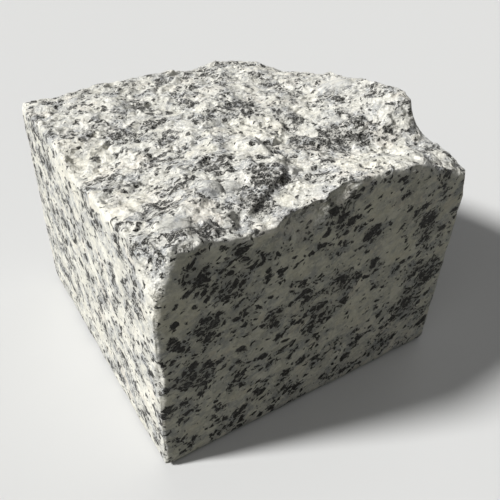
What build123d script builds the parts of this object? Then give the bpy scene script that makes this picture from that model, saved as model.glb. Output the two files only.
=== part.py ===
from build123d import *
from math import ceil, exp, hypot
from random import Random
import os

# Granite cobblestone: one block sawn flat on the base and four sides and split by hand on top.
# Millimetres. +X runs along the front face to the right, +Y from the front to the back, +Z up.
# The origin is the middle of the base.

width = 101.0          # front face, left arris to right arris
depth = 100.0          # front face to back face
height = 71.0          # base to the rim of the split top, before its swells
relief = 9.0           # rise of the highest swell above the rim
arris_radius = 1.2     # wear on the four upright arrises
base_wear = 0.8        # wear round the sawn base
chip_back = 12.0       # spall at the near left corner, along the left face
chip_across = 6.0      # the same spall, along the front face
chip_down = 16.0       # the same spall, down the upright arris
facet_size = 14.0      # broken facets of the split top, one beside the other
facet_step = 0.55      # most that a facet stands above or below the swells
facet_stray = 0.3      # most that its middle strays from the middle of its square, as a share of it
facet_lean = 0.13      # most that a facet leans, as rise over run
seam_sharpness = 5.0   # how sharply one facet gives way to the next

# The swells and hollows of the split top. Each has its middle as a share of the width and depth,
# its reach to the left, right, front and back as shares too, and its rise as a share of the relief.
crown = (0.00, 0.12, 0.40, 0.40, 0.40, 0.40, 0.34)
right_hump = (0.50, -0.20, 0.14, 0.14, 0.07, 0.33, 0.86)
right_shoulder = (0.42, -0.12, 0.30, 0.30, 0.15, 0.44, 0.16)
front_ridge = (0.06, -0.50, 0.11, 0.38, 0.15, 0.15, 0.61)
trough = (0.30, -0.30, 0.26, 0.30, 0.08, 0.08, -0.24)
middle_step = (-0.07, -0.30, 0.28, 0.07, 0.11, 0.16, 0.40)
near_left_swell = (-0.42, -0.46, 0.10, 0.14, 0.12, 0.12, 0.36)
left_dip = (-0.50, -0.02, 0.16, 0.16, 0.13, 0.13, -0.44)
far_left_droop = (-0.50, 0.50, 0.12, 0.12, 0.12, 0.12, -0.15)
far_right_droop = (0.50, 0.50, 0.13, 0.13, 0.21, 0.20, -0.64)
near_right_droop = (0.50, -0.50, 0.16, 0.06, 0.05, 0.09, -0.66)
swells = [
    crown,
    right_hump,
    right_shoulder,
    front_ridge,
    trough,
    middle_step,
    near_left_swell,
    left_dip,
    far_left_droop,
    far_right_droop,
    near_right_droop,
]

# The facets that the split broke into, one in each square of a net: each stands a little higher
# or lower than the rest and leans its own way.
draw = Random(4)
facets = []
for row in range(-1, ceil(depth / facet_size) + 1):
    for column in range(-1, ceil(width / facet_size) + 1):
        facet_x = (column + 0.5 + facet_stray * draw.uniform(-1, 1)) * facet_size - width / 2
        facet_y = (row + 0.5 + facet_stray * draw.uniform(-1, 1)) * facet_size - depth / 2
        step = facet_step * draw.uniform(-1, 1)
        lean_x = facet_lean * draw.uniform(-1, 1)
        lean_y = facet_lean * draw.uniform(-1, 1)
        facets.append((facet_x, facet_y, step, lean_x, lean_y))


def facet_height(x, y):
    """Rise of the broken facets at a place; each gives way to the next over a short steep seam."""
    total = 0.0
    heights = 0.0
    for facet_x, facet_y, step, lean_x, lean_y in facets:
        away = hypot(x - facet_x, y - facet_y) / facet_size
        weight = exp(-seam_sharpness * away**2)
        total += weight
        heights += weight * (step + lean_x * (x - facet_x) + lean_y * (y - facet_y))
    return heights / total


def split_height(across, back):
    """Height of the split top at a place given as shares of the width and depth."""
    rise = 0.0
    for middle_x, middle_y, left, right, front, rear, share in swells:
        reach_x = left if across < middle_x else right
        reach_y = front if back < middle_y else rear
        away = ((across - middle_x) / reach_x) ** 2 + ((back - middle_y) / reach_y) ** 2
        rise += share * exp(-away)
    return height + relief * rise + facet_height(across * width, back * depth)


# The block as sawn, standing taller than any swell, its upright arrises and base edges worn.
sawn_height = height + 3 * relief
block = Box(width, depth, sawn_height, align=(Align.CENTER, Align.CENTER, Align.MIN))
block = fillet(block.edges().filter_by(Axis.Z), arris_radius)
block = chamfer(block.faces().sort_by(Axis.Z)[0].edges(), base_wear)

# The split: one rough face from side to side, running past the block all round.
stations = 40
overrun = 1.08
split_fit = 0.1        # how closely the face keeps to the stations
grid = []
for row in range(stations + 1):
    back = overrun * (row / stations - 0.5)
    line = []
    for column in range(stations + 1):
        across = overrun * (column / stations - 0.5)
        line.append((across * width, back * depth, split_height(across, back)))
    grid.append(line)
split_face = Face.make_surface_from_array_of_points(grid, tol=split_fit)
waste = extrude(split_face, amount=2 * sawn_height, dir=(0, 0, 1))
stone = block - waste

# The spall at the near left corner, broken off along one plane through three edges.
corner_height = split_height(-0.5, -0.5)
on_left = Vector(-width / 2, -depth / 2 + chip_back, split_height(-0.5, chip_back / depth - 0.5))
on_front = Vector(-width / 2 + chip_across, -depth / 2, split_height(chip_across / width - 0.5, -0.5))
on_arris = Vector(-width / 2, -depth / 2, corner_height - chip_down)
spall_normal = (on_front - on_left).cross(on_arris - on_left)
spall = Plane(on_left, x_dir=on_front - on_left, z_dir=spall_normal)
stone = split(stone, bisect_by=spall, keep=Keep.TOP)

os.makedirs("parts", exist_ok=True)
stone.label = "granite_cobblestone"
export_step(stone, "parts/granite_cobblestone.step")
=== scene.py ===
import math
import random

import bmesh
import bpy
from mathutils import Matrix, Vector, noise
from mathutils.bvhtree import BVHTree
from mathutils.kdtree import KDTree


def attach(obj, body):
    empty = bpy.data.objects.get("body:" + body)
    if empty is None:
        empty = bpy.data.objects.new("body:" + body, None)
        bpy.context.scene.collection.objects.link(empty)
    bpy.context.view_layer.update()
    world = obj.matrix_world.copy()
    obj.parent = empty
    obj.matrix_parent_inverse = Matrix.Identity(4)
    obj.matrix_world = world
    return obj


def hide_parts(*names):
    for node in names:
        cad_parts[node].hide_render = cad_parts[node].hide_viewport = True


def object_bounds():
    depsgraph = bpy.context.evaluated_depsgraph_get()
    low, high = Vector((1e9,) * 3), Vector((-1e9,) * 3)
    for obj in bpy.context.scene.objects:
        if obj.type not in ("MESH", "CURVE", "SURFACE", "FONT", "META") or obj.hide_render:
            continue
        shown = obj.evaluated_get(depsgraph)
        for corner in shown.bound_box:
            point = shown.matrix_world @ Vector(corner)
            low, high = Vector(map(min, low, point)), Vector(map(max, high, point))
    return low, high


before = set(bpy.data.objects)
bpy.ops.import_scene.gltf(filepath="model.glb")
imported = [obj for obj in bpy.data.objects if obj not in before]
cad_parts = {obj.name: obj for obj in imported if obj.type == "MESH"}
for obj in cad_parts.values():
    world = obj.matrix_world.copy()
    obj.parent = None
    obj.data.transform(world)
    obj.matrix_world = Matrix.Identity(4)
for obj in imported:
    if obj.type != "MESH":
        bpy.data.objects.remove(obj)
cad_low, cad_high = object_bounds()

scene = bpy.context.scene

# The stone: one block of speckled granite, sawn flat on its base and four sides.
# Its top was split off with hammer and chisel, so it is a mosaic of broken crystals
# with a low ledge, and every arris is chipped from cutting and handling.

MM = 0.001
mesh_size = 1.36 * MM           # mesh on the sawn faces; a third of it on the top and its rim
same_place = 1e-6               # corners of the solid's triangles that are nearer than this are one, m
half_width = cad_high.x
half_depth = cad_high.y

split_block = bmesh.new()
split_block.from_mesh(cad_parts["granite_cobblestone"].data)
bmesh.ops.remove_doubles(split_block, verts=split_block.verts, dist=same_place)
split_form = BVHTree.FromBMesh(split_block)

rough_mesh = bpy.data.meshes.new("split_block")
split_block.to_mesh(rough_mesh)
split_block.free()
stone = bpy.data.objects.new("stone", rough_mesh)
scene.collection.objects.link(stone)
even = stone.modifiers.new("even_mesh", "REMESH")
even.mode = "VOXEL"
even.voxel_size = mesh_size
depsgraph = bpy.context.evaluated_depsgraph_get()
even_mesh = bpy.data.meshes.new_from_object(stone.evaluated_get(depsgraph))
stone.modifiers.clear()
stone.data = even_mesh
stone.data.name = "stone"
bpy.data.meshes.remove(rough_mesh)


def split_height(x, y):
    """Height of the split top over a place, sounded from above and held just inside the walls."""
    inside = 0.15 * MM
    overhead = 1.0
    inwards = 0.995             # step towards the middle where a worn corner leaves nothing to sound
    x = max(-half_width + inside, min(half_width - inside, x))
    y = max(-half_depth + inside, min(half_depth - inside, y))
    hit = None
    while hit is None:
        hit = split_form.ray_cast(Vector((x, y, overhead)), Vector((0, 0, -1)))[0]
        x, y = inwards * x, inwards * y
    return hit.z


def depths(point):
    """How far a point lies within the sides, the front or back, the base and the top, in millimetres."""
    top = split_height(point.x, point.y)
    return (
        (half_width - abs(point.x)) / MM,
        (half_depth - abs(point.y)) / MM,
        point.z / MM,
        (top - point.z) / MM,
    )


def ease(low, high, value):
    """0 at low, 1 at high, smooth between and level beyond."""
    t = max(0.0, min(1.0, (value - low) / (high - low)))
    return t * t * (3 - 2 * t)


fine_band = 3.0                 # finer mesh this far each side of the rim and the upright arrises, mm
top_facing = 0.25               # least upward part of the normal on the top
top_from = 45                   # least height of the top, mm
stone_bm = bmesh.new()
stone_bm.from_mesh(stone.data)
fine_edges = {}
for face in stone_bm.faces:
    side, end, up, under = depths(face.calc_center_median())
    on_top = face.normal.z > top_facing and up > top_from
    if on_top or sorted((side, end, under))[1] < fine_band:
        fine_edges.update(dict.fromkeys(face.edges))
bmesh.ops.subdivide_edges(stone_bm, edges=list(fine_edges), cuts=2, use_grid_fill=True)
stone_bm.normal_update()
stone_bm.verts.ensure_lookup_table()


def vertex_finder():
    """The stone's vertices as they stand now, sorted for finding those near a place."""
    found = KDTree(len(stone_bm.verts))
    for vert in stone_bm.verts:
        found.insert(vert.co, vert.index)
    found.balance()
    return found


# Where the minerals gather: x, y, z of the middle and the reach of each patch, in millimetres.
mica_patches = [
    (-11, -35, 75, 5.5),        # under the ledge
    (-17, -41, 73, 3.0),
    (11, -20, 73, 4.0),         # along the trough
    (20, -23, 72, 5.0),
    (30, -23, 73, 4.5),
    (1, -40, 75, 3.0),          # on the front ridge
    (-40, -31, 73, 4.5),        # near the left rim
    (-42, -44, 74, 3.0),
    (-50, -40, 71, 3.0),
    (-35, -46, 74, 3.0),
    (-19, -23, 74, 4.0),        # over the middle
    (-26, -11, 73, 2.5),
    (-33, 9, 72, 4.0),
    (-23, 10, 73, 3.0),
    (-7, 17, 74, 4.0),
    (6, 6, 74, 6.0),
    (48, -23, 77, 2.0),         # on the hump at the right
    (43, -13, 78, 1.8),
    (36, 1, 75, 3.0),
    (-40, -50, 65, 4.0),        # down the front face
    (-31, -50, 58, 4.5),
    (-37, -50, 48, 3.5),
    (-40, -50, 33, 5.0),
    (-17, -50, 42, 3.5),
    (-1, -50, 35, 4.5),
    (8, -50, 44, 4.0),
    (3, -50, 65, 3.5),
    (14, -50, 58, 2.5),
    (37, -50, 55, 3.0),
    (42, -50, 34, 5.0),
    (35, -50, 22, 6.0),
]
mica_fade = 1.5                 # mica thins out to this many times the reach
mica_core = 0.4                 # and is full out to this share of it
pale_patches = [
    (2, -9, 74, 8.0),           # over the middle of the top
    (-18, -12, 74, 4.0),
    (-46, 5, 70, 9.0),          # along the left rim
    (-47, -24, 71, 6.0),
    (-7, -44, 73, 5.0),         # along the front ridge
    (14, -41, 75, 7.0),
    (31, -35, 72, 6.0),
    (-45, -50, 57, 6.0),        # down the front face
    (-10, -50, 58, 5.0),
    (15, -50, 67, 5.0),
    (13, -50, 29, 7.0),
    (27, -50, 48, 5.0),
]
pale_fade = 1.4
pale_core = 0.5
pale_force = 1.3                # how much mica a pale patch keeps away
quartz_knobs = [
    (-26, -32, 3.2, 1.2),       # x and y of the middle, its reach and how far it stands proud
    (-21, -33, 2.6, 0.7),
    (41, 3, 5.5, 1.1),
    (-40, -41, 3.2, 0.4),
]
knob_search = 1.4               # a knob's outline is ragged, so vertices are looked for past its reach
knob_ragged = 0.2               # how far the outline strays, as a share of the reach

riven_layer = stone_bm.verts.layers.float.new("riven")
bruise_layer = stone_bm.verts.layers.float.new("bruise")
mica_layer = stone_bm.verts.layers.float.new("mica")
calm_layer = stone_bm.verts.layers.float.new("calm")
finder = vertex_finder()
for x, y, z, reach in mica_patches:
    for _, index, away in finder.find_range(Vector((x, y, z)) * MM, mica_fade * reach * MM):
        vert = stone_bm.verts[index]
        thick = ease(mica_fade * reach, mica_core * reach, away / MM)
        vert[mica_layer] = max(vert[mica_layer], thick)
for x, y, z, reach in pale_patches:
    for _, index, away in finder.find_range(Vector((x, y, z)) * MM, pale_fade * reach * MM):
        cleared = ease(pale_fade * reach, pale_core * reach, away / MM)
        stone_bm.verts[index][mica_layer] -= pale_force * cleared
knob_rise = {}
for x, y, reach, proud in quartz_knobs:
    middle = Vector((x * MM, y * MM, split_height(x * MM, y * MM)))
    for co, index, _ in finder.find_range(middle, knob_search * reach * MM):
        vert = stone_bm.verts[index]
        from_middle = (co - middle).xy.length / (reach * MM) + knob_ragged * noise.noise(co / MM / 2.0)
        vert[calm_layer] = max(vert[calm_layer], ease(1.25, 0.85, from_middle))
        dome = math.sqrt(max(0.0, 1.0 - max(0.0, from_middle) ** 2))
        knob_rise[index] = max(knob_rise.get(index, 0.0), proud * dome)

# The broken facets of the top, in three sizes. Each row has the size in millimetres, the steepest
# tilt and the width of the seam between two facets as a share of the size.
broad_facets = (5.0, 0.20, 0.15)
middling_facets = (2.4, 0.22, 0.2)
small_facets = (1.25, 0.21, 0.3)
noise.seed_set(5)               # the tearing of the facets comes out the same each time


def facets(place, size, tilt, seam):
    """Broken facets of one size: each leans its own way and meets the next at a short steep seam."""
    scatter = 37.0              # sets the middles far apart, so that each draws its own lean
    step = 0.25                 # how far a facet stands above or below the rest, as a share of its tilt
    away, middles = noise.voronoi(place / size, distance_metric="DISTANCE", exponent=2.5)
    heights = []
    for middle in middles[:2]:
        lean = 2 * noise.cell_vector(middle * scatter) - Vector((1, 1, 1))
        heights.append(size * tilt * (lean.dot(place / size - middle) + step * lean.z))
    apart = ease(0.0, seam, away[1] - away[0])
    return heights[0] * (0.5 + 0.5 * apart) + heights[1] * (0.5 - 0.5 * apart)


def riven_relief(place, calm):
    """Height in millimetres of the split top's broken texture over its large form."""
    # each noise is read at an offset of its own, so that no two run together
    torn = place + 0.8 * noise.noise_vector(place / 2.2)
    relief = facets(torn + Vector((40, 11, 5)), *broad_facets)
    small = facets(torn + Vector((7, 90, 31)), *middling_facets)
    small += facets(place + Vector((61, 3, 77)), *small_facets)
    rough = 0.5 + 0.6 * ease(-0.25, 0.25, noise.noise(place / 8.0 + Vector((5, 5, 70))))
    relief += rough * (1 - 0.6 * calm) * small
    relief += 0.3 * noise.fractal(place / 7.0, 1.0, 2.0, 3)
    return relief


# The ledge: its foot in x and y, from the back to the front, with the high side on the left.
ledge_foot = [Vector((-2, -18, 0)), Vector((1, -25, 0)), Vector((-7, -36, 0)), Vector((-17, -41, 0))]
ledge_rise = 1.0
ledge_lip = 0.7                 # half the width of the steep lip, mm
ledge_back = 8.0                # how far behind the lip the rise has died away, mm


def ledge(place):
    """Rise of the high side of the ledge over a place, falling away from its ragged edge."""
    flat = Vector((place.x, place.y, 0))
    best = None
    for start, stop in zip(ledge_foot, ledge_foot[1:]):
        along = stop - start
        share = max(0.0, min(1.0, (flat - start).dot(along) / along.length_squared))
        gap = flat - (start + share * along)
        if best is None or gap.length < best[0]:
            best = gap.length, along.cross(gap).z
    away = best[0] if best[1] < 0 else -best[0]
    away += 0.8 * noise.noise(place / 2.5)
    return ledge_rise * ease(-ledge_lip, ledge_lip, away) * ease(ledge_back, 1.0, away)


# Wear on the arrises and waves left by the saw, in millimetres.
arris_wear = 0.12               # depth of wear on every arris, and how much deeper where it was knocked
knock_wear = 0.4
arris_width = 0.8               # width of that wear, and how much wider where it was knocked
knock_width = 1.2
bruise_width = 0.5              # the same for the whitened stone along the arris
knock_bruise = 0.9
saw_depth = 0.16                # mean depth of the saw's waves and how far they swing about it
saw_swing = 0.20

moves = []
for vert in stone_bm.verts:
    place = vert.co / MM
    side, end, up, under = depths(vert.co)
    wall = min(side, end)
    from_arris = max(0.0, sorted((side, end, up, under))[1])
    near_top = ease(2.5, 0.8, under)
    riven = ease(0.1, 0.9, wall) * near_top

    # the broken texture dies out down the walls, and is milder by the rim and on the knobs
    upper = ease(7.0, 0.5, under)
    heave = 0.0
    if upper > 0:
        by_rim = ease(2.5, 0.5, wall)
        heave = (1 - 0.5 * by_rim) * (1 - 0.8 * vert[calm_layer])
        heave *= riven_relief(place, max(vert[calm_layer], 0.7 * by_rim))
        heave += ledge(place) + knob_rise.get(vert.index, 0.0)
    heave_way = Vector((0, 0, 1)).lerp(vert.normal, ease(0.5, 2.0, wall) * near_top)

    # the even mesh is set back onto the split face where it strayed from it
    onto_split = under * ease(0.4, 1.4, wall) * ease(1.4, 0.7, abs(under))

    blows = noise.noise(place / 6.0 + Vector((3, 60, 8))) + 0.6 * noise.noise(place / 2.5)
    knock = ease(-0.1, 0.75, blows)
    worn_away = max(0.0, 1.0 - from_arris / (arris_width + knock_width * knock))
    worn = (arris_wear + knock_wear * knock) * worn_away ** 2
    sawn = (1.0 - riven) * max(0.0, saw_depth + saw_swing * noise.fractal(place / 8.0, 1.0, 2.0, 4))
    move = Vector((0, 0, onto_split)) + heave_way * upper * heave - vert.normal * (worn + sawn)
    moves.append(move * MM)
    vert[riven_layer] = riven
    whitened = max(0.0, 1.0 - from_arris / (bruise_width + knock_bruise * knock))
    vert[bruise_layer] = whitened * (0.2 + 0.5 * knock)
for vert, move in zip(stone_bm.verts, moves):
    vert.co += move

# Chips along the arrises: their mean spacing and greatest depth.
upright_chips = (8.0 * MM, 1.6 * MM)
rim_chips = (7.0 * MM, 0.8 * MM)
base_chips = (9.0 * MM, 0.9 * MM)
chip_ragged = 0.12 * MM         # roughness inside a chip
knocks = random.Random(5)
finder = vertex_finder()


def chip(middle, outward, reach, depth):
    """A shell-shaped chip broken off an arris: its half length and depth in metres."""
    radius = (reach * reach + depth * depth) / (2 * depth)
    hollow = middle + outward.normalized() * (radius - depth)
    for _, index, away in finder.find_range(hollow, radius):
        vert = stone_bm.verts[index]
        ragged = chip_ragged * noise.noise(vert.co / MM / 0.9)
        vert.co = hollow + (vert.co - hollow).normalized() * (radius + ragged)
        fresh = ease(0.0, 0.6 * depth, radius - away)
        vert[riven_layer] = max(vert[riven_layer], fresh)
        vert[bruise_layer] = max(vert[bruise_layer], 0.3 * fresh)


def chip_arris(start, stop, out, spacing, deepest):
    """Chips at uneven spaces along an arris, most of them small."""
    end_gap = 0.3 * spacing
    run = (stop - start).length
    along = end_gap
    while along < run - end_gap:
        middle = start.lerp(stop, along / run)
        if out.z > 0:
            middle.z = split_height(middle.x, middle.y)
        depth = deepest * (0.15 + 0.85 * knocks.random() ** 2)
        reach = depth * knocks.uniform(3.0, 6.5)
        tilt = Vector([knocks.uniform(-0.35, 0.35) for _ in range(3)])
        chip(middle, out.normalized() + tilt, reach, depth)
        along += spacing * knocks.uniform(0.5, 1.5)


corners = [Vector((x * half_width, y * half_depth, 0)) for x, y in ((-1, -1), (1, -1), (1, 1), (-1, 1))]
for corner, following in zip(corners, corners[1:] + corners[:1]):
    wall_out = Vector(((corner.x + following.x) / 2, (corner.y + following.y) / 2, 0)).normalized()
    corner_top = Vector((corner.x, corner.y, split_height(corner.x, corner.y)))
    chip_arris(corner, corner_top, Vector((corner.x, corner.y, 0)), *upright_chips)
    chip_arris(corner, following, wall_out + Vector((0, 0, 1)), *rim_chips)
    chip_arris(corner, following, wall_out - Vector((0, 0, 1)), *base_chips)

# Two shallow spalls under the front rim: x, z, half length and depth in millimetres.
for x, z, reach, depth in ((-10.5, 67.0, 6.0, 0.9), (0.0, 73.5, 5.0, 1.2)):
    chip(Vector((x * MM, -half_depth, z * MM)), Vector((0, -1, 0.4)), reach * MM, depth * MM)

# Creases where two chips cross are eased, so that hardly a face folds back over its neighbour.
crease_angle = 1.4
for _ in range(12):
    stone_bm.normal_update()
    folded = []
    for vert in stone_bm.verts:
        if any(edge.calc_face_angle(0.0) > crease_angle for edge in vert.link_edges):
            folded.append(vert)
    bmesh.ops.smooth_vert(stone_bm, verts=folded, factor=0.5, use_axis_x=True, use_axis_y=True,
                          use_axis_z=True)

for vert in stone_bm.verts:
    vert.co.x = max(cad_low.x, min(cad_high.x, vert.co.x))
    vert.co.y = max(cad_low.y, min(cad_high.y, vert.co.y))
    vert.co.z = max(cad_low.z, min(cad_high.z, vert.co.z))
for face in stone_bm.faces:
    face.smooth = True
stone_bm.to_mesh(stone.data)
stone_bm.free()

granite = bpy.data.materials.new("speckled_granite")
granite.use_nodes = True
nodes = granite.node_tree.nodes
links = granite.node_tree.links
nodes.clear()


def join(socket, value):
    """Sets a socket by value, or joins it to another node's output."""
    if isinstance(value, bpy.types.NodeSocket):
        links.new(value, socket)
    else:
        socket.default_value = value


def node(kind, settings=None, **inputs):
    """A new node with its settings and its inputs, named as on the node or numbered as _0, _1."""
    made = nodes.new(kind)
    for name, value in (settings or {}).items():
        setattr(made, name, value)
    for name, value in inputs.items():
        key = int(name[1:]) if name[0] == "_" else name.replace("_", " ")
        join(made.inputs[key], value)
    return made


def maths(operation, *values):
    """One sum on numbers."""
    made = node("ShaderNodeMath", {"operation": operation})
    for socket, value in zip(made.inputs, values):
        join(socket, value)
    return made.outputs[0]


def times(first, second):
    """One amount taken by another."""
    return maths("MULTIPLY", first, second)


def rest_of(amount):
    """What an amount leaves of a whole."""
    return maths("SUBTRACT", 1.0, amount)


def vector_maths(operation, first, second):
    """One sum on places or colours."""
    made = node("ShaderNodeVectorMath", {"operation": operation}, _0=first)
    join(made.inputs["Scale"] if operation == "SCALE" else made.inputs[1], second)
    return made.outputs["Value" if operation == "DOT_PRODUCT" else "Vector"]


def spread(value, low, high, to_low, to_high):
    """A value from low to high taken smoothly to another range."""
    made = node("ShaderNodeMapRange", {"interpolation_type": "SMOOTHSTEP"}, Value=value, From_Min=low,
                From_Max=high, To_Min=to_low, To_Max=to_high)
    return made.outputs["Result"]


def blend(amount, first, second):
    """The first colour at 0 and the second at 1."""
    made = node("ShaderNodeMix", {"data_type": "RGBA"}, _0=amount, _6=first, _7=second)
    return made.outputs[2]


def cloud(place, size, detail, roughness=0.5, output="Fac"):
    """Soft noise whose patches are about size millimetres across."""
    made = node("ShaderNodeTexNoise", Vector=place, Scale=1.0 / size, Detail=detail, Roughness=roughness)
    return made.outputs[output]


def shifted(place, size, detail, amount):
    """Places pushed about by noise, so that what is drawn on them gets ragged outlines."""
    push = vector_maths("SUBTRACT", cloud(place, size, detail, 0.6, "Color"), (0.5, 0.5, 0.5))
    return vector_maths("ADD", place, vector_maths("SCALE", push, amount))


def grains(place, size):
    """Crystals of about that size: the Voronoi node and three random draws for each crystal."""
    cells = node("ShaderNodeTexVoronoi", {"feature": "F1"}, Vector=place, Scale=1.0 / size)
    draw = node("ShaderNodeSeparateColor", Color=cells.outputs["Color"])
    return cells, draw.outputs["Red"], draw.outputs["Green"], draw.outputs["Blue"]


def flakes(place, size, share, dense):
    """Mica flakes and the dusky rim round each: torn at the edge, and larger where mica is dense."""
    cells, chance, girth = grains(place, size)[:3]
    torn = maths("MULTIPLY_ADD", cloud(place, 0.35 * size, 3.0, 0.65), 1.0, -0.5)
    inside = maths("SUBTRACT", maths("MULTIPLY_ADD", girth, 0.34, 0.22), cells.outputs["Distance"])
    inside = maths("ADD", maths("ADD", inside, torn), times(dense, 0.09))
    here = maths("LESS_THAN", chance, share)
    flake = times(spread(inside, -0.12, 0.07, 0.0, 1.0), here)
    rim = times(spread(inside, -0.30, 0.05, 0.0, 1.0), here)
    return flake, rim


def joints(place, size, thin):
    """Thin joints between crystals of one size: 1 on a joint, 0 away from it."""
    cells = node("ShaderNodeTexVoronoi", {"feature": "DISTANCE_TO_EDGE"}, Vector=place, Scale=1.0 / size)
    return spread(cells.outputs["Distance"], 0.0, thin, 1.0, 0.0)


def leaning_grains(place, size):
    """Height of broken grains of one size, each a small plane that leans its own way."""
    cells = grains(place, size)[0]
    lean = vector_maths("SUBTRACT", cells.outputs["Color"], (0.5, 0.5, 0.5))
    return vector_maths("DOT_PRODUCT", vector_maths("SUBTRACT", place, cells.outputs["Position"]), lean)


surface = node("ShaderNodeOutputMaterial")
shader = node("ShaderNodeBsdfPrincipled")
shader.inputs["Specular IOR Level"].default_value = 0.1
links.new(shader.outputs["BSDF"], surface.inputs["Surface"])

riven = node("ShaderNodeAttribute", {"attribute_name": "riven"}).outputs["Fac"]
bruise = node("ShaderNodeAttribute", {"attribute_name": "bruise"}).outputs["Fac"]
gathered = node("ShaderNodeAttribute", {"attribute_name": "mica"}).outputs["Fac"]
knob = node("ShaderNodeAttribute", {"attribute_name": "calm"}).outputs["Fac"]

# the grain is in millimetres, drawn out a little along a bedding that climbs to the right
bedding_climb = math.radians(-25)
grain_stretch = (1.20 * MM, 1.00 * MM, 0.88 * MM)
where = node("ShaderNodeTexCoord").outputs["Object"]
bedded = node("ShaderNodeMapping", {"vector_type": "TEXTURE"}, Vector=where,
              Rotation=(0.0, bedding_climb, 0.0), Scale=grain_stretch).outputs[0]
bent = shifted(bedded, 3.0, 1.0, 2.6)
ragged = shifted(bent, 1.2, 3.0, 1.1)

calm = times(knob, spread(cloud(bedded, 1.5, 3.0, 0.6), 0.35, 0.60, 0.5, 1.0))

# where the mica gathers, where it is dense, and the greyer stone about it
cluster = maths("MULTIPLY_ADD", cloud(bent, 7.0, 2.0, 0.6), 0.75, 0.125)
cluster = maths("ADD", cluster, times(gathered, 0.25))
dense = spread(cluster, 0.58, 0.80, 0.0, 1.0)
grey_zone = spread(cluster, 0.38, 0.56, 0.55, 1.0)

# feldspar: white to cream, each large crystal its own tone, clouded inside and creamier away from the mica
feldspar_size = 4.8
grey_feldspar = (0.62, 0.605, 0.535, 1)
white_feldspar = (0.84, 0.82, 0.74, 1)
warm_feldspar = (0.80, 0.73, 0.63, 1)
cream_feldspar = (0.82, 0.785, 0.66, 1)
clouded_feldspar = (0.46, 0.46, 0.44, 1)
tone, warmth, glint = grains(ragged, feldspar_size)[1:]
feldspar = blend(tone, grey_feldspar, white_feldspar)
feldspar = blend(spread(warmth, 0.75, 1.0, 0.0, 0.5), feldspar, warm_feldspar)
feldspar = blend(spread(cluster, 0.30, 0.48, 0.5, 0.0), feldspar, cream_feldspar)
clouding = times(spread(cloud(ragged, 1.8, 4.0, 0.65), 0.36, 0.58, 0.55, 0.0), grey_zone)
feldspar = blend(clouding, feldspar, clouded_feldspar)

# quartz: grey glassy patches that fade into the feldspar
quartz_size = 4.5
dark_quartz = (0.27, 0.28, 0.29, 1)
pale_quartz = (0.50, 0.51, 0.515, 1)
quartz = times(spread(cloud(ragged, quartz_size, 3.0, 0.6), 0.48, 0.61, 0.0, 0.8), grey_zone)
quartz = maths("MAXIMUM", quartz, times(calm, 0.35))
quartz_tone = blend(cloud(bent, 2.2, 2.0), dark_quartz, pale_quartz)
pale_stone = blend(quartz, feldspar, quartz_tone)

# small bright crystals all over the sawn faces, partly painted glints off their cleavage faces
bright_crystal_and_glint = (0.90, 0.885, 0.80, 1)
bright_flecks_and_glints = spread(cloud(bedded, 0.9, 3.0, 0.7), 0.50, 0.62, 0.0, 0.55)
bright_flecks_and_glints = times(bright_flecks_and_glints, rest_of(riven))
pale_stone = blend(bright_flecks_and_glints, pale_stone, bright_crystal_and_glint)

# mica: black flakes of three sizes in loose clusters, with a dusky halo of fine specks
mica_sizes = ((2.6, 0.8), (1.5, 0.85), (0.85, 0.65))    # size of a flake and how many there are at most
dusky_halo = (0.27, 0.275, 0.28, 1)
black_mica = (0.004, 0.004, 0.004, 1)
brown_mica = (0.034, 0.032, 0.028, 1)
mica = 0.0
mica_rim = 0.0
for size, most in mica_sizes:
    flake, rim = flakes(ragged, size, spread(cluster, 0.45, 0.66, 0.10 * most, most), dense)
    mica = maths("MAXIMUM", mica, flake)
    mica_rim = maths("MAXIMUM", mica_rim, rim)
mica = times(mica, rest_of(calm))
mica = times(mica, spread(cloud(bent, 0.8, 3.0, 0.7), 0.34, 0.50, 0.75, 1.0))
dusk = maths("MAXIMUM", spread(cluster, 0.42, 0.66, 0.0, 0.5), times(mica_rim, 0.6))
dusk = times(dusk, rest_of(maths("MAXIMUM", calm, times(riven, 0.3))))
pale_stone = blend(dusk, pale_stone, dusky_halo)
mica_tone = blend(cloud(ragged, 1.2, 2.0), black_mica, brown_mica)
stone_colour = blend(mica, pale_stone, mica_tone)

# the split top is sugary: painted shade in the crevices between its small crystals, and white points where
# they are bruised
crevice_shade_grey = (0.12, 0.12, 0.12, 1)
crushed_white = (0.85, 0.835, 0.765, 1)
shaded_crevice_spread = spread(cloud(bent, 3.0, 2.0), 0.45, 0.65, 0.0, 0.65)
# painted shade: the crevices between the grains of the top are greyed as if shadow lay in them
painted_crevice_shade = times(times(joints(ragged, 1.6, 0.10), shaded_crevice_spread), grey_zone)
stone_colour = blend(times(painted_crevice_shade, riven), stone_colour, crevice_shade_grey)
dust = times(riven, spread(cloud(bedded, 0.5, 3.0, 0.7), 0.50, 0.60, 0.0, 0.75))
dust = times(dust, rest_of(times(mica, 0.55)))
crushed = times(bruise, spread(cloud(bedded, 1.2, 3.0, 0.6), 0.35, 0.6, 0.1, 0.9))
dust = times(maths("MAXIMUM", dust, crushed), rest_of(calm))
stone_colour = blend(dust, stone_colour, crushed_white)
links.new(stone_colour, shader.inputs["Base Color"])

# dull all over, with a little gloss on mica, on quartz and on a few cleaved crystals of the top
dull = 0.68
gloss = maths("MAXIMUM", times(mica, 0.20), times(quartz, 0.25))
gloss = maths("MAXIMUM", gloss, times(riven, spread(glint, 0.80, 0.90, 0.0, 0.32)))
links.new(maths("SUBTRACT", dull, gloss), shader.inputs["Roughness"])

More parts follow.
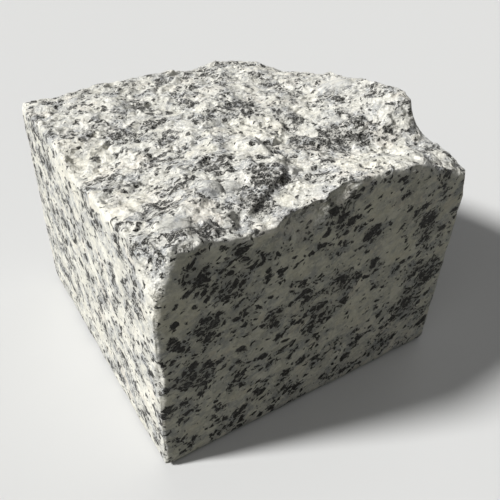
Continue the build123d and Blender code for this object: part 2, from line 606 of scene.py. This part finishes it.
# fine relief in millimetres: broken grains on the top, shallow pits of pulled-out mica on the sawn sides
broken = maths("ADD", leaning_grains(ragged, 1.3), leaning_grains(ragged, 0.6))
broken = times(broken, rest_of(times(calm, 0.85)))
broken = times(broken, spread(cloud(bent, 6.0, 2.0), 0.40, 0.60, 0.45, 1.1))
broken = maths("ADD", times(broken, 0.7), times(cloud(bedded, 0.5, 3.0, 0.7), 0.15))
pitted = maths("SUBTRACT", times(cloud(bedded, 0.9, 4.0, 0.65), 0.16), times(mica, 0.06))
pitted = maths("ADD", pitted, times(broken, 0.25))
height = maths("ADD", times(broken, riven), times(pitted, rest_of(riven)))
relief = node("ShaderNodeBump", Strength=1.0, Distance=MM, Height=height)
links.new(relief.outputs["Normal"], shader.inputs["Normal"])

stone.data.materials.clear()
stone.data.materials.append(granite)
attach(stone, "root")
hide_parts("granite_cobblestone")

# The floor: a plain pale board that the stone stands on, made as one flat sheet.
# Its tint as seen is paler than the light it throws back on the stone.

floor_half = 4.0
floor_gap = 0.0003              # keeps the board clear of the sawn base, m
floor_tint = (0.64, 0.64, 0.63)
floor_bounce = (0.12, 0.12, 0.09)
floor_bm = bmesh.new()
bmesh.ops.create_grid(floor_bm, x_segments=1, y_segments=1, size=floor_half)
bmesh.ops.translate(floor_bm, verts=floor_bm.verts, vec=(0, 0, -floor_gap))
floor_mesh = bpy.data.meshes.new("floor")
floor_bm.to_mesh(floor_mesh)
floor_bm.free()
floor = bpy.data.objects.new("floor", floor_mesh)
scene.collection.objects.link(floor)

# from here the node helpers work on the floor's material
pale = bpy.data.materials.new("pale_floor")
pale.use_nodes = True
nodes = pale.node_tree.nodes
links = pale.node_tree.links


def as_seen():
    """1 where the camera looks, straight or by a reflection, and 0 where light is thrown on the stone."""
    path = node("ShaderNodeLightPath")
    seen = maths("MAXIMUM", path.outputs["Is Camera Ray"], path.outputs["Is Glossy Ray"])
    return maths("MAXIMUM", seen, path.outputs["Is Transmission Ray"])


board = nodes["Principled BSDF"]
links.new(blend(as_seen(), (*floor_bounce, 1), (*floor_tint, 1)), board.inputs["Base Color"])
board.inputs["Roughness"].default_value = 0.9
board.inputs["Specular IOR Level"].default_value = 0.0
floor.data.materials.append(pale)

# The light: one soft lamp far off at the back left, two weak broad ones that fill the shade at the front
# and at the right, and a dim even room. The walls of the room look as pale as the lit floor.

room_light = (0.079, 0.080, 0.081)
lamp_on_floor = 0.0
for name, towards, breadth, strength in (
    ("main_lamp", (-0.76, 0.27, 0.64), 9, 4.9),
    ("front_fill", (-0.55, -0.45, 0.70), 50, 0.35),
    ("right_fill", (0.85, 0.40, 0.30), 50, 0.5),
):
    towards = Vector(towards).normalized()
    lamp = bpy.data.lights.new(name, "SUN")
    lamp.angle = math.radians(breadth)
    lamp.energy = strength
    lamp_on_floor += strength * towards.z / math.pi
    lamp_object = bpy.data.objects.new(name, lamp)
    scene.collection.objects.link(lamp_object)
    lamp_object.location = towards
    lamp_object.rotation_mode = "QUATERNION"
    lamp_object.rotation_quaternion = towards.to_track_quat("Z", "Y")

# from here the node helpers work on the room
world = bpy.data.worlds.new("room")
scene.world = world
world.use_nodes = True
nodes = world.node_tree.nodes
links = world.node_tree.links
walls = [tint * (lamp_on_floor + room) for tint, room in zip(floor_tint, room_light)]
links.new(blend(as_seen(), (*room_light, 1), (*walls, 1)), nodes["Background"].inputs["Color"])

# The camera: it looks down on the near left corner of the stone from an arm's length,
# held a little out of level.

focal_length = 580              # in pixels of a frame 500 pixels wide
frame_width = 500
sensor_width = 36.0
eye = Vector((-0.0848, -0.1384, 0.1469))
pitch = math.radians(36.8)
yaw = math.radians(33.8)
roll = math.radians(-2.5)

camera = bpy.data.cameras.new("camera")
camera.sensor_width = sensor_width
camera.lens = focal_length / frame_width * sensor_width
camera.clip_start = 0.01
camera_object = bpy.data.objects.new("camera", camera)
scene.collection.objects.link(camera_object)
forward = Vector((math.sin(yaw) * math.cos(pitch), math.cos(yaw) * math.cos(pitch), -math.sin(pitch)))
level = Vector((math.cos(yaw), -math.sin(yaw), 0.0))
drop = forward.cross(level)
right = math.cos(roll) * level + math.sin(roll) * drop
down = -math.sin(roll) * level + math.cos(roll) * drop
turn = Matrix((right, -down, -forward)).transposed()
camera_object.matrix_world = Matrix.Translation(eye) @ turn.to_4x4()
scene.camera = camera_object

scene.view_settings.view_transform = "Standard"
